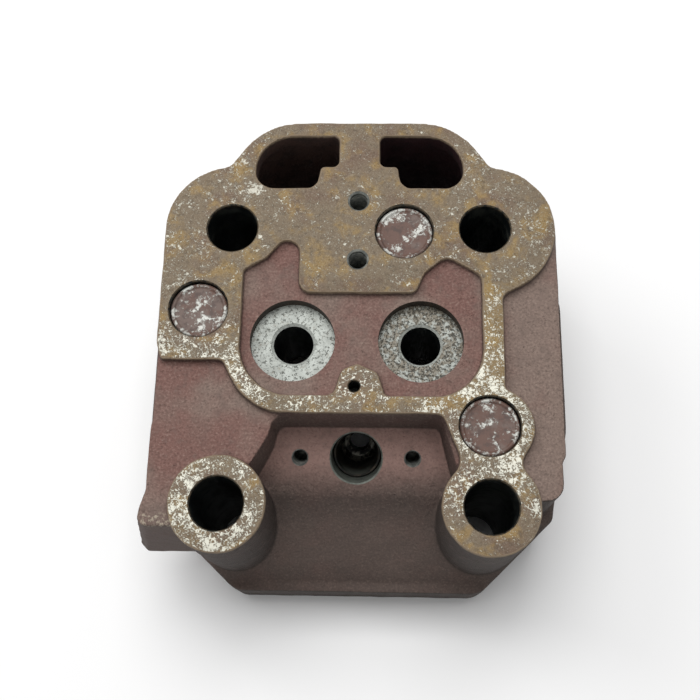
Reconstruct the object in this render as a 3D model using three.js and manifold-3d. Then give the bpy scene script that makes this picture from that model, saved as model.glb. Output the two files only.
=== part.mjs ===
// Bare cylinder head of a one-cylinder, water-cooled diesel engine, as an assembly of its separate pieces.
// Millimetres, +Z up. The origin is the cylinder's axis on the fire deck, +Y points to the pushrods, +X to
// the exhaust side, and the injector comes in from -Y. Every height below is measured from the fire deck.

import * as THREE from 'three';
import { mergeVertices } from 'three/addons/utils/BufferGeometryUtils.js';
import { ConvexGeometry } from 'three/addons/geometries/ConvexGeometry.js';
import Module from 'manifold-3d';

const wasm = await Module();
wasm.setup();

// ---------------------------------------------------------------- driving dimensions

const TOP = 80;              // machined top face
const SHELF = 76.6;          // cast shelves beside the top face
const WELL_FLOOR = 77.2;     // floor of the valve well
const PLAY = 0.3;            // gap kept between two pieces that touch
const OVER = 1;              // how far a cut runs past the face it opens
const FAR = 90;              // beyond the head's sides

const STUD = { x: 45, y: 49.3, holeR: 9, bossR: 16.3, coreR: 14 };
const VALVE = { x: 22.25, y: 8, guideR: 7, chamfer: 0.9, seatR: 14.8, springSeat: 72.5, bossR: 12 };
const REAR = 91.9;           // rear edge of the head
const FRONT = -72.5;         // front edge of the deck
const LEFT = -69.1;          // intake wall
const RIGHT = 70.4;          // exhaust wall under the shelf
const SUM_CHAMFER = 118.4;   // |x| + |y| along the two front corner chamfers
const PAD_WALL = { x: 73, top: 44, front: -38, rear: 40 };   // lower exhaust wall, wider than the shelf

const SLOPE = { wallY: -18.5, top: 60, creaseY: -41.6, crease: 51.5, footY: -69, foot: 22 };
const TILT = Math.atan2(SLOPE.top - SLOPE.crease, SLOPE.wallY - SLOPE.creaseY);  // injector's lean
const INJECTOR = { y: -28.8, mouthR: 9, depth: 48, nozzleR: 4, clampX: 20, clampR: 3, clampDepth: 14,
  wallR: 13.5, clampWallR: 7 };
const SLEEVE = { top: 12, wall: 1.5, floor: 2, sealAt: 16, sealWidth: 2.4, grooveR: 10.2 };

const CORE_PLUGS = {
  left: { x: -55.3, y: 18.5, bottom: 60 },
  rear: { x: 16.4, y: 48.3, bottom: 60 },
  right: { x: 45.1, y: -22.3, bottom: 46 },
};
const PLUG = { r: 10.1, bore: 10.3, sink: 1.6, height: 6.5, sheet: 1.5, rim: 1, dish: 0.6 };
const SIDE_PLUG = { r: 8, bore: 8.2, y: -29, z: 28, height: 5.5, sink: 1.2, inside: 58 };
const RIDER_SCREWS = [{ x: 0, y: 60 }, { x: 0, y: 37.3 }];   // tapped holes of the rocker pedestal
const SCREW = { r: 3.4, depth: 18, bossR: 8 };
const LUG_HOLE = { x: -0.5, y: -9.1, r: 2, depth: 9 };

const INTAKE = { side: -1, portR: 16, portY: 12, portZ: 27, seatR: 21, throatR: 17.2, face: -76, screws: 25 };
const EXHAUST = { side: 1, portR: 14.5, portY: 8, portZ: 26, seatR: 18.5, throatR: 15, face: 76, screws: 22 };
const FLANGE = { bottom: 4, top: 48, margin: 7, cornerR: 8, screwR: 3.4, screwDepth: 15 };
const SEAT = { height: 8, sink: 0.4, land: 1.2 };

const FOOTS = { top: 30, shelf: 34 };   // how far down the top face's and the shelves' walls reach
const CHAMBER = { inner: 7, outer: 41.5, front: 61.8, rear: 86.5, roof: 72.5 };
const JACKET = { floor: 9, roof: 68, wall: 7, rear: 57, frontRoof: 54, frontRoofY: -11.5, toe: 17 };
const COOLANT = [{ x: 57, y: -20 }, { x: 24, y: -60 }, { x: 24, y: 51.5 }];
const COOLANT_R = 4.5;
const GALLERY = { r: 3, z: 50, wallR: 7, feedR: 2.5, feedY: 74 };
const GALLERY_PLUG = { r: 5, length: 9, sink: 1, play: 0.2, hex: 5, hexDepth: 5 };

const ROUND = { large: 28, medium: 18, small: 10 };          // sides of a round hole or boss
const ARC_STEP = THREE.MathUtils.degToRad(20);

// ---------------------------------------------------------------- outlines, as corners [x, y, fillet radius]

const earAndRear = (side, wallX) => [
  [side * wallX, 69.9, 23.7],
  [side * 47.2, 73.8, 4.8],
  [side * 35, REAR, 24.9],
];

const TOP_FACE = [
  ...earAndRear(-1, -LEFT),
  ...earAndRear(1, 69.7).reverse(),
  [69.7, 34.6, 24.4], [50.6, 24.4, 4],                    // right ear, right band
  [50.6, -9.4, 1.5], [67.3, -16.9, 14], [54.4, -34.8, 5.4],        // right plug boss and its neck
  [61.3, -43.7, 16.2], [61.3, -65.6, 16.2],               // right front stud boss
  [28.7, -65.6, 16.2], [28.7, -43.5, 16.2],
  [35.8, -34.7, 6], [29.3, SLOPE.wallY, 3],
  [-36.5, SLOPE.wallY, 21.5], [-46, 0, 2], [-67.4, 0, 1], [LEFT, 6.5, 3],
];

const WELL = [
  [-40.2, 33.2, 1.5], [-32, 38, 6], [-27.3, 44.4, 4], [-20.6, 44.4, 4.4], [-20.6, 24.7, 4.5],
  [20.2, 24.7, 2.5], [23.5, 32.4, 4], [31.2, 38.7, 4], [43.4, 31.4, 3], [43.4, -12.3, 17],
  [10, -12.3, 1.5], [7.4, -4, 3], [0.5, -0.9, 1.5], [-4.8, -3.2, 2.5], [-7.5, -12.3, 3.5],
  [-40.2, -12.3, 18],
];

const PUSHROD_OPENING = [
  [7.5, 86.2, 2], [37.6, 86.2, 13.6], [37.6, 65.3, 6.8], [15.4, 65.3, 4.5], [14, 74, 1.5], [7.5, 74, 2],
];

const CHAMBER_OUTLINE = [
  [CHAMBER.inner, CHAMBER.rear, 4], [CHAMBER.outer, CHAMBER.rear, 17],
  [CHAMBER.outer, CHAMBER.front, 7], [CHAMBER.inner, CHAMBER.front, 4],
];

const DECK_OUTLINE = [
  ...earAndRear(-1, -LEFT),
  ...earAndRear(1, RIGHT).reverse(),
  [RIGHT, -(SUM_CHAMFER - RIGHT), 3],
  [SUM_CHAMFER + FRONT, FRONT, 9], [-(SUM_CHAMFER + FRONT), FRONT, 9],
  [LEFT, -(SUM_CHAMFER + LEFT), 3],
];

const SHELF_OUTLINE = [
  ...earAndRear(-1, -LEFT),
  ...earAndRear(1, RIGHT).reverse(),
  [RIGHT, -31.4, 0.8], [69.2, -33.6, 0.8], [69.2, -46.7, 6],             // notch and corner, exhaust side
  [STUD.x, -46.7, 0], [STUD.x, -STUD.y, 0],
  [34, -36, 2], [29.3, SLOPE.wallY, 3],
  [-27.4, SLOPE.wallY, 4], [-29.4, -26, 8], [-35, -35.5, 5],             // left flank of the injector bay
  [-STUD.x, -STUD.y, 0], [-52, -56.5, 0],
  [-71.6, -56.5, 3], [-71.4, -51, 5], [-69.5, -45, 8], [-69.5, -24, 8], [-68.5, -13, 8], [-68.5, 2, 3],
];

const PAD_WALL_OUTLINE = [
  [62, PAD_WALL.rear + 3, 0], [PAD_WALL.x, PAD_WALL.rear, 6], [PAD_WALL.x, PAD_WALL.front, 5],
  [SUM_CHAMFER / 2 + 2, -SUM_CHAMFER / 2 + 2, 6], [50, -55, 0],
];

const JACKET_OUTLINE = [
  [-62, JACKET.rear, 14], [63, JACKET.rear, 14], [63, -45, 8], [43, FRONT + JACKET.wall, 8],
  [-44, FRONT + JACKET.wall, 8], [-62, -46, 8],
];

// ---------------------------------------------------------------- helpers

// A THREE.Shape from corners, each rounded by a true arc of its own radius.
function outline(corners) {
  const points = [];
  corners.forEach(([x, y, radius], index) => {
    const corner = new THREE.Vector2(x, y);
    const [px, py] = corners.at(index - 1);
    const [nx, ny] = corners[(index + 1) % corners.length];
    const back = new THREE.Vector2(px, py).sub(corner).normalize();
    const ahead = new THREE.Vector2(nx, ny).sub(corner).normalize();
    const half = Math.acos(THREE.MathUtils.clamp(back.dot(ahead), -1, 1)) / 2;
    if (radius === 0) {
      points.push(corner);
      return;
    }
    const reach = radius / Math.tan(half);
    const centre = back.clone().add(ahead).setLength(radius / Math.sin(half)).add(corner);
    const start = corner.clone().addScaledVector(back, reach).sub(centre).angle();
    const end = corner.clone().addScaledVector(ahead, reach).sub(centre).angle();
    const clockwise = back.cross(ahead) > 0;
    const turn = Math.PI - 2 * half;
    const steps = Math.max(2, Math.ceil(turn / ARC_STEP));
    const arc = new THREE.EllipseCurve(centre.x, centre.y, radius, radius, start, end, clockwise);
    points.push(...arc.getPoints(steps));
  });
  return new THREE.Shape(points);
}

// A closed three.js geometry as a solid that can be joined and cut.
function solid(geometry) {
  const bare = geometry.index ? geometry.toNonIndexed() : geometry.clone();
  bare.deleteAttribute('normal');
  bare.deleteAttribute('uv');
  const merged = mergeVertices(bare, 1e-4);
  const mesh = new wasm.Mesh({
    numProp: 3,
    vertProperties: new Float32Array(merged.attributes.position.array),
    triVerts: new Uint32Array(merged.index.array),
  });
  return new wasm.Manifold(mesh);
}

function geometryOf(body) {
  const { vertProperties, triVerts } = body.getMesh();
  const geometry = new THREE.BufferGeometry();
  geometry.setAttribute('position', new THREE.BufferAttribute(vertProperties, 3));
  geometry.setIndex(new THREE.BufferAttribute(triVerts, 1));
  geometry.computeVertexNormals();
  return geometry;
}

const joined = (bodies) => bodies.reduce((whole, body) => whole.add(body));
const cut = (body, cuts) => cuts.reduce((rest, tool) => rest.subtract(tool), body);
const mirrored = (make) => [make(1), make(-1)];

function prism(shape, bottom, top) {
  const geometry = new THREE.ExtrudeGeometry(shape, { depth: top - bottom, bevelEnabled: false });
  return solid(geometry.translate(0, 0, bottom));
}

function round(x, y, r, bottom, top, sides = ROUND.medium) {
  const geometry = new THREE.CylinderGeometry(r, r, top - bottom, sides);
  return solid(geometry.rotateX(Math.PI / 2).translate(x, y, (top + bottom) / 2));
}

// A round bar along X (the ports and the side core holes).
function crossRound(y, z, r, fromX, toX, sides = ROUND.medium) {
  const geometry = new THREE.CylinderGeometry(r, r, Math.abs(toX - fromX), sides);
  return solid(geometry.rotateZ(Math.PI / 2).translate((fromX + toX) / 2, y, z));
}

// A profile [radius, height] turned about Z; it closes on itself or on the axis.
function turned(profile, sides = ROUND.large) {
  const points = profile.map(([r, z]) => new THREE.Vector2(r, z));
  points.push(points[0].clone());
  return new THREE.LatheGeometry(points, sides).rotateX(Math.PI / 2);
}

// A profile [y, z] drawn out along X.
function drawnAlongX(profile, fromX, toX) {
  const shape = new THREE.Shape(profile.map(([y, z]) => new THREE.Vector2(y, z)));
  const geometry = new THREE.ExtrudeGeometry(shape, { depth: toX - fromX, bevelEnabled: false });
  geometry.rotateZ(Math.PI / 2).rotateY(Math.PI / 2);
  return solid(geometry.translate(fromX, 0, 0));
}

// The injector's own frame: height 0 on the sloped platform at the bore's mouth, falling into the head.
const INJECTOR_FRAME = new THREE.Matrix4()
  .makeTranslation(0, INJECTOR.y, SLOPE.top - (SLOPE.wallY - INJECTOR.y) * Math.tan(TILT))
  .multiply(new THREE.Matrix4().makeRotationX(TILT));

function inInjectorBay(geometry) {
  return solid(geometry.applyMatrix4(INJECTOR_FRAME));
}

function slantedRound(x, r, shallow, deep, sides = ROUND.medium) {
  const geometry = new THREE.CylinderGeometry(r, r, deep - shallow, sides);
  return inInjectorBay(geometry.rotateX(Math.PI / 2).translate(x, 0, -(deep + shallow) / 2));
}

// ---------------------------------------------------------------- the casting

function frontWedge() {
  return drawnAlongX([
    [SLOPE.wallY, SLOPE.top], [SLOPE.wallY, TOP + OVER], [-FAR, TOP + OVER],
    [-FAR, SLOPE.foot], [SLOPE.footY, SLOPE.foot], [SLOPE.creaseY, SLOPE.crease],
  ], -FAR, FAR);
}

// Corner lug of the intake side: its faces draft outwards as they go down.
function cornerLug() {
  const under = FOOTS.shelf;
  const corners = [
    [-71.6, -54, SHELF], [-69, -56.5, SHELF], [-60, -56.5, SHELF], [-60, -44, SHELF], [-69.6, -45, SHELF],
    [-79.5, -57, under], [-76.5, -60, under], [-58, -60, under], [-58, -38, under], [-70, -40, under],
  ];
  return solid(new ConvexGeometry(corners.map((corner) => new THREE.Vector3(...corner))));
}

function flangePad({ side, face, portY, screws }) {
  const half = screws + FLANGE.margin;
  const pad = outline([
    [portY - half, FLANGE.bottom, FLANGE.cornerR], [portY + half, FLANGE.bottom, FLANGE.cornerR],
    [portY + half, FLANGE.top, FLANGE.cornerR], [portY - half, FLANGE.top, FLANGE.cornerR],
  ]);
  const depth = 14;
  const geometry = new THREE.ExtrudeGeometry(pad, { depth, bevelEnabled: false });
  geometry.rotateZ(Math.PI / 2).rotateY(Math.PI / 2);
  return solid(geometry.translate(side > 0 ? face - depth : face, 0, 0));
}

function castBody() {
  const base = prism(outline(DECK_OUTLINE), 0, SHELF).subtract(frontWedge());
  return joined([
    base,
    prism(outline(SHELF_OUTLINE), FOOTS.shelf, SHELF),
    prism(outline(TOP_FACE), FOOTS.top, TOP),
    prism(outline(PAD_WALL_OUTLINE), 0, PAD_WALL.top),
    ...mirrored((side) => round(side * STUD.x, -STUD.y, STUD.bossR, 0, TOP, ROUND.large)),
    cornerLug(),
    flangePad(INTAKE),
    flangePad(EXHAUST),
  ]);
}

// The gas path of one valve: throat, bowl and port, with the guide's boss left standing in its roof.
function portCut({ side, portR, portY, portZ, throatR, face }) {
  const x = side * VALVE.x;
  const bowl = new THREE.SphereGeometry(portR + 1, ROUND.medium, ROUND.small).translate(x, VALVE.y, portZ);
  const lean = Math.atan2(portY - VALVE.y, Math.abs(face) - VALVE.x);
  const length = Math.abs(face) - VALVE.x + 4;
  const run = new THREE.CylinderGeometry(portR, portR, length, ROUND.medium);
  run.rotateZ(Math.PI / 2).translate(length / 2, 0, 0);
  run.rotateZ(side > 0 ? lean : Math.PI - lean).translate(x, VALVE.y, portZ);
  const path = joined([round(x, VALVE.y, throatR, -OVER, portZ, ROUND.large), solid(bowl), solid(run)]);
  const boss = 6;
  return path.subtract(round(x, VALVE.y, VALVE.bossR - 1.5, portZ + portR - boss, SHELF));
}

// Iron left standing around one port inside the water jacket.
function portWall({ side, portR, portY, portZ, seatR, face }) {
  const iron = 5;
  const x = side * VALVE.x;
  return joined([
    round(x, VALVE.y, seatR + 2, 0, portZ),
    solid(new THREE.SphereGeometry(portR + iron + 1, ROUND.small, 6).translate(x, VALVE.y, portZ)),
    crossRound((VALVE.y + portY) / 2, portZ, portR + iron + 2, x, face),
  ]);
}

function jacketCut() {
  const roofed = drawnAlongX([
    [JACKET.rear, JACKET.floor], [JACKET.rear, JACKET.roof], [JACKET.frontRoofY, JACKET.roof],
    [JACKET.frontRoofY, JACKET.frontRoof], [SLOPE.creaseY, SLOPE.crease - JACKET.wall - 1],
    [FRONT + JACKET.wall, JACKET.toe], [FRONT + JACKET.wall, JACKET.floor],
  ], -FAR, FAR);
  const galleryStart = RIDER_SCREWS[1].y - SCREW.bossR;
  const galleryEnd = JACKET.rear + JACKET.wall;
  const galleryWall = new THREE.CylinderGeometry(GALLERY.wallR, GALLERY.wallR, galleryEnd - galleryStart,
    ROUND.small).translate(0, (galleryStart + galleryEnd) / 2, GALLERY.z);
  const water = prism(outline(JACKET_OUTLINE), JACKET.floor, JACKET.roof).intersect(roofed);
  return cut(water, [
    ...mirrored((side) => round(side * STUD.x, STUD.y, STUD.coreR, 0, TOP)),
    ...mirrored((side) => round(side * STUD.x, -STUD.y, STUD.coreR, 0, TOP)),
    ...mirrored((side) => round(side * VALVE.x, VALVE.y, VALVE.bossR, INTAKE.portZ, TOP)),
    ...mirrored((side) => slantedRound(side * INJECTOR.clampX, INJECTOR.clampWallR, 0,
      INJECTOR.clampDepth + 4)),
    portWall(INTAKE),
    portWall(EXHAUST),
    slantedRound(0, INJECTOR.wallR, 0, SLEEVE.sealAt + 7),
    slantedRound(0, INJECTOR.wallR, INJECTOR.depth - 11, INJECTOR.depth + 6),
    round(0, RIDER_SCREWS[1].y, SCREW.bossR, GALLERY.z, TOP),
    solid(galleryWall),
  ]);
}

// The injector's bore, with the groove of its seal and the small hole of the nozzle.
function injectorCut() {
  const grooveEnd = -SLEEVE.sealAt - SLEEVE.sealWidth;
  const groove = turned([
    [INJECTOR.mouthR - OVER, grooveEnd], [SLEEVE.grooveR, grooveEnd],
    [SLEEVE.grooveR, -SLEEVE.sealAt], [INJECTOR.mouthR - OVER, -SLEEVE.sealAt],
  ]);
  return joined([
    slantedRound(0, INJECTOR.mouthR, -12, INJECTOR.depth, ROUND.large),
    slantedRound(0, INJECTOR.nozzleR, INJECTOR.depth - OVER, INJECTOR.depth + 16),
    inInjectorBay(groove),
    ...mirrored((side) => slantedRound(side * INJECTOR.clampX, INJECTOR.clampR, -8, INJECTOR.clampDepth,
      ROUND.small)),
  ]);
}

function guideCut(side) {
  const x = side * VALVE.x;
  const lip = turned([
    [0, VALVE.springSeat - VALVE.chamfer], [VALVE.guideR, VALVE.springSeat - VALVE.chamfer],
    [VALVE.guideR + VALVE.chamfer, VALVE.springSeat], [VALVE.guideR + VALVE.chamfer, VALVE.springSeat + OVER],
    [0, VALVE.springSeat + OVER],
  ]).translate(x, VALVE.y, 0);
  return joined([
    round(x, VALVE.y, VALVE.guideR, INTAKE.portZ, TOP, ROUND.large),
    round(x, VALVE.y, VALVE.seatR, VALVE.springSeat, TOP + OVER, ROUND.large),
    solid(lip),
  ]);
}

function galleryCut() {
  const length = REAR - RIDER_SCREWS[1].y;
  const run = new THREE.CylinderGeometry(GALLERY.r, GALLERY.r, length, ROUND.small);
  const seatR = GALLERY_PLUG.r + GALLERY_PLUG.play;
  const seatDepth = GALLERY_PLUG.length + 2 * GALLERY_PLUG.sink;
  const seat = new THREE.CylinderGeometry(seatR, seatR, seatDepth + OVER, ROUND.medium);
  return joined([
    solid(run.translate(0, REAR - length / 2, GALLERY.z)),
    solid(seat.translate(0, REAR + (OVER - seatDepth) / 2, GALLERY.z)),
    round(0, GALLERY.feedY, GALLERY.feedR, -OVER, GALLERY.z, ROUND.small),
    round(0, RIDER_SCREWS[1].y, GALLERY.r, GALLERY.z, TOP - SCREW.depth + OVER, ROUND.small),
  ]);
}

function flangeScrews({ side, face, portY, portZ, screws }) {
  const inside = face - side * FLANGE.screwDepth;
  return joined(mirrored((way) => crossRound(portY + way * screws, portZ, FLANGE.screwR, inside,
    face + side * OVER, ROUND.small)));
}

function headCasting() {
  const studHoles = [[1, 1], [-1, 1], [1, -1], [-1, -1]].map(([sx, sy]) =>
    round(sx * STUD.x, sy * STUD.y, STUD.holeR, -OVER, TOP + OVER, ROUND.large));
  const coreHoles = Object.values(CORE_PLUGS).map(({ x, y, bottom }) =>
    round(x, y, PLUG.bore, bottom, TOP + OVER, ROUND.large));
  const chamber = prism(outline(CHAMBER_OUTLINE), -OVER, CHAMBER.roof);
  const opening = prism(outline(PUSHROD_OPENING), CHAMBER.roof - OVER, TOP + OVER);
  return cut(castBody(), [
    prism(outline(WELL), WELL_FLOOR, TOP + OVER),
    jacketCut(),
    portCut(INTAKE),
    portCut(EXHAUST),
    ...mirrored(guideCut),
    ...studHoles,
    ...coreHoles,
    ...mirrored((side) => (side > 0 ? chamber : chamber.mirror([1, 0, 0]))),
    ...mirrored((side) => (side > 0 ? opening : opening.mirror([1, 0, 0]))),
    ...RIDER_SCREWS.map(({ x, y }) => round(x, y, SCREW.r, TOP - SCREW.depth, TOP + OVER)),
    round(LUG_HOLE.x, LUG_HOLE.y, LUG_HOLE.r, TOP - LUG_HOLE.depth, TOP + OVER, ROUND.small),
    injectorCut(),
    galleryCut(),
    flangeScrews(INTAKE),
    flangeScrews(EXHAUST),
    crossRound(SIDE_PLUG.y, SIDE_PLUG.z, SIDE_PLUG.bore, LEFT - OVER, -SIDE_PLUG.inside,
      ROUND.medium),
    crossRound(SIDE_PLUG.y, SIDE_PLUG.z, SIDE_PLUG.bore, PAD_WALL.x + OVER, SIDE_PLUG.inside,
      ROUND.medium),
    round(-VALVE.x, VALVE.y, INTAKE.seatR + PLAY, -OVER, SEAT.height + PLAY, ROUND.large),
    round(VALVE.x, VALVE.y, EXHAUST.seatR + PLAY, -OVER, SEAT.height + PLAY, ROUND.large),
    ...COOLANT.flatMap(({ x, y }) => mirrored((side) =>
      round(side * x, y, COOLANT_R, -OVER, JACKET.floor + OVER, ROUND.small))),
  ]);
}

// ---------------------------------------------------------------- pressed-in pieces

// Cup plug, its closed and slightly dished face up, the crest of its rim at height 0.
function cupPlug(r, height) {
  const inner = r - PLUG.sheet;
  const crest = r - PLUG.rim;
  const flat = crest - PLUG.rim;
  return turned([
    [r, -height], [r, -PLUG.rim], [r - PLUG.rim * 0.3, -PLUG.rim * 0.3], [crest, 0],
    [flat, -PLUG.dish], [0, -PLUG.dish], [0, -PLUG.dish - PLUG.sheet], [flat, -PLUG.dish - PLUG.sheet],
    [inner, -PLUG.rim - PLUG.sheet], [inner, -height],
  ]);
}

function valveSeat({ seatR, throatR }) {
  const low = SEAT.sink;
  return turned([
    [throatR, SEAT.height], [throatR, low + (seatR - SEAT.land - throatR)], [seatR - SEAT.land, low],
    [seatR, low], [seatR, SEAT.height],
  ]);
}

// Injector sleeve: a thin cup with the nozzle's hole in its floor.
function injectorSleeve() {
  const outer = INJECTOR.mouthR - PLAY;
  const inner = outer - SLEEVE.wall;
  const bottom = -INJECTOR.depth + PLAY;
  return turned([
    [outer, -SLEEVE.top], [inner + 0.6, -SLEEVE.top], [inner, -SLEEVE.top - 1.5],
    [inner, bottom + SLEEVE.floor + 1.5], [inner - 1.5, bottom + SLEEVE.floor],
    [INJECTOR.nozzleR, bottom + SLEEVE.floor], [INJECTOR.nozzleR, bottom], [outer, bottom],
  ]);
}

function sealRing() {
  const section = (SLEEVE.grooveR - (INJECTOR.mouthR - PLAY)) / 2 - 0.03;
  const middle = (SLEEVE.grooveR + INJECTOR.mouthR - PLAY) / 2;
  const ring = new THREE.TorusGeometry(middle, section, 6, ROUND.large);
  return ring.translate(0, 0, -SLEEVE.sealAt - SLEEVE.sealWidth / 2);
}

function galleryPlug() {
  const { r, length, hex, hexDepth } = GALLERY_PLUG;
  const body = new THREE.CylinderGeometry(r, r, length, ROUND.medium);
  const socketR = hex / Math.sqrt(3);
  const socket = new THREE.CylinderGeometry(socketR, socketR, hexDepth * 2, 6);
  return geometryOf(solid(body).subtract(solid(socket.translate(0, length / 2, 0))));
}

// ---------------------------------------------------------------- materials and assembly

const finish = (color, roughness, metalness) => new THREE.MeshStandardMaterial({ color, roughness, metalness });
const IRON = finish(0x8a7558, 0.75, 0.35);
const PRESSED_STEEL = finish(0x8c7368, 0.6, 0.5);
const SEAT_STEEL = finish(0x9a9a98, 0.35, 0.9);
const COPPER = finish(0xa8745a, 0.4, 0.9);
const RUBBER = finish(0x1c1c1c, 0.85, 0);

const head = new THREE.Group();

function addPiece(name, geometry, material, place = new THREE.Matrix4()) {
  const mesh = new THREE.Mesh(geometry, material);
  mesh.name = name;
  mesh.applyMatrix4(place);
  head.add(mesh);
}

addPiece('head_casting', geometryOf(headCasting()), IRON);
for (const [name, { x, y }] of Object.entries(CORE_PLUGS)) {
  const place = new THREE.Matrix4().makeTranslation(x, y, TOP - PLUG.sink);
  addPiece(`core_plug_${name}`, cupPlug(PLUG.r, PLUG.height), PRESSED_STEEL, place);
}
for (const [name, wallX, turn] of [['intake', LEFT, -1], ['exhaust', PAD_WALL.x, 1]]) {
  const place = new THREE.Matrix4().makeTranslation(wallX - turn * SIDE_PLUG.sink, SIDE_PLUG.y, SIDE_PLUG.z)
    .multiply(new THREE.Matrix4().makeRotationY(turn * Math.PI / 2));
  addPiece(`core_plug_${name}_side`, cupPlug(SIDE_PLUG.r, SIDE_PLUG.height), PRESSED_STEEL, place);
}
addPiece('intake_valve_seat', valveSeat(INTAKE), SEAT_STEEL,
  new THREE.Matrix4().makeTranslation(-VALVE.x, VALVE.y, 0));
addPiece('exhaust_valve_seat', valveSeat(EXHAUST), SEAT_STEEL,
  new THREE.Matrix4().makeTranslation(VALVE.x, VALVE.y, 0));
addPiece('injector_sleeve', injectorSleeve(), COPPER, INJECTOR_FRAME);
addPiece('sleeve_seal_ring', sealRing(), RUBBER, INJECTOR_FRAME);
addPiece('oil_gallery_plug', galleryPlug(), PRESSED_STEEL,
  new THREE.Matrix4().makeTranslation(0, REAR - GALLERY_PLUG.sink - GALLERY_PLUG.length / 2, GALLERY.z));

export default head;
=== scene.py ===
"""Looks of a bare cast-iron cylinder head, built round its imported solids.

The casting is made the way a foundry and a machine shop make it: a rough body with soft
edges is joined from its walls, bosses and pads, its faces are planed, and its holes are
bored. Lengths are in millimetres up to the mesh, which is in metres.
"""

from __future__ import annotations

import logging
import math
from dataclasses import dataclass, field
from enum import Enum

import bmesh
import bpy
from mathutils import Matrix, Vector, noise


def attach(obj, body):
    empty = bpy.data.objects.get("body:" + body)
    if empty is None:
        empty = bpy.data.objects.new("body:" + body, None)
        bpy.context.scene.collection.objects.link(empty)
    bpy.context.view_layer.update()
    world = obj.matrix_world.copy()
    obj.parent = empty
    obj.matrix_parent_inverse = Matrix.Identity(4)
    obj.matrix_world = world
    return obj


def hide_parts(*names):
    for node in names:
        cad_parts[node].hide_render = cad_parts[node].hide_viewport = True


LOG = logging.getLogger("cylinder_head")
MM = 0.001
Corner = tuple[float, float, float]
Triple = tuple[float, float, float]
Pair = tuple[float, float]
Colour = tuple[float, float, float]
Tool = bpy.types.Object
Material = bpy.types.Material

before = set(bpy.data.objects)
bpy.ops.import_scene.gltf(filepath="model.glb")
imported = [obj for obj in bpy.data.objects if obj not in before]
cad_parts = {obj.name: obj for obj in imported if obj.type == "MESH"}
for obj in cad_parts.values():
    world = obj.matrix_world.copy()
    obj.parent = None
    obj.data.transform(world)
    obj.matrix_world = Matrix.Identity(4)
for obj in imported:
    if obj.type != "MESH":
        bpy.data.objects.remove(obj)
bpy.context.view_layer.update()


# ---------- shader writing


class Wire:
    """A shader value that writes Math nodes when it is used in an expression."""

    def __init__(self, tree: Tree, socket: bpy.types.NodeSocket) -> None:
        """Keep the tree and the output socket this value comes from."""
        self.tree = tree
        self.socket = socket

    def __add__(self, other: Wire | float) -> Wire:
        """Sum."""
        return self.tree.maths("ADD", self, other)

    __radd__ = __add__

    def __mul__(self, other: Wire | float) -> Wire:
        """Product."""
        return self.tree.maths("MULTIPLY", self, other)

    __rmul__ = __mul__

    def __sub__(self, other: Wire | float) -> Wire:
        """Difference."""
        return self.tree.maths("SUBTRACT", self, other)

    def __rsub__(self, other: Wire | float) -> Wire:
        """Difference from a number, such as 1 - mask."""
        return self.tree.maths("SUBTRACT", other, self)


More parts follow.
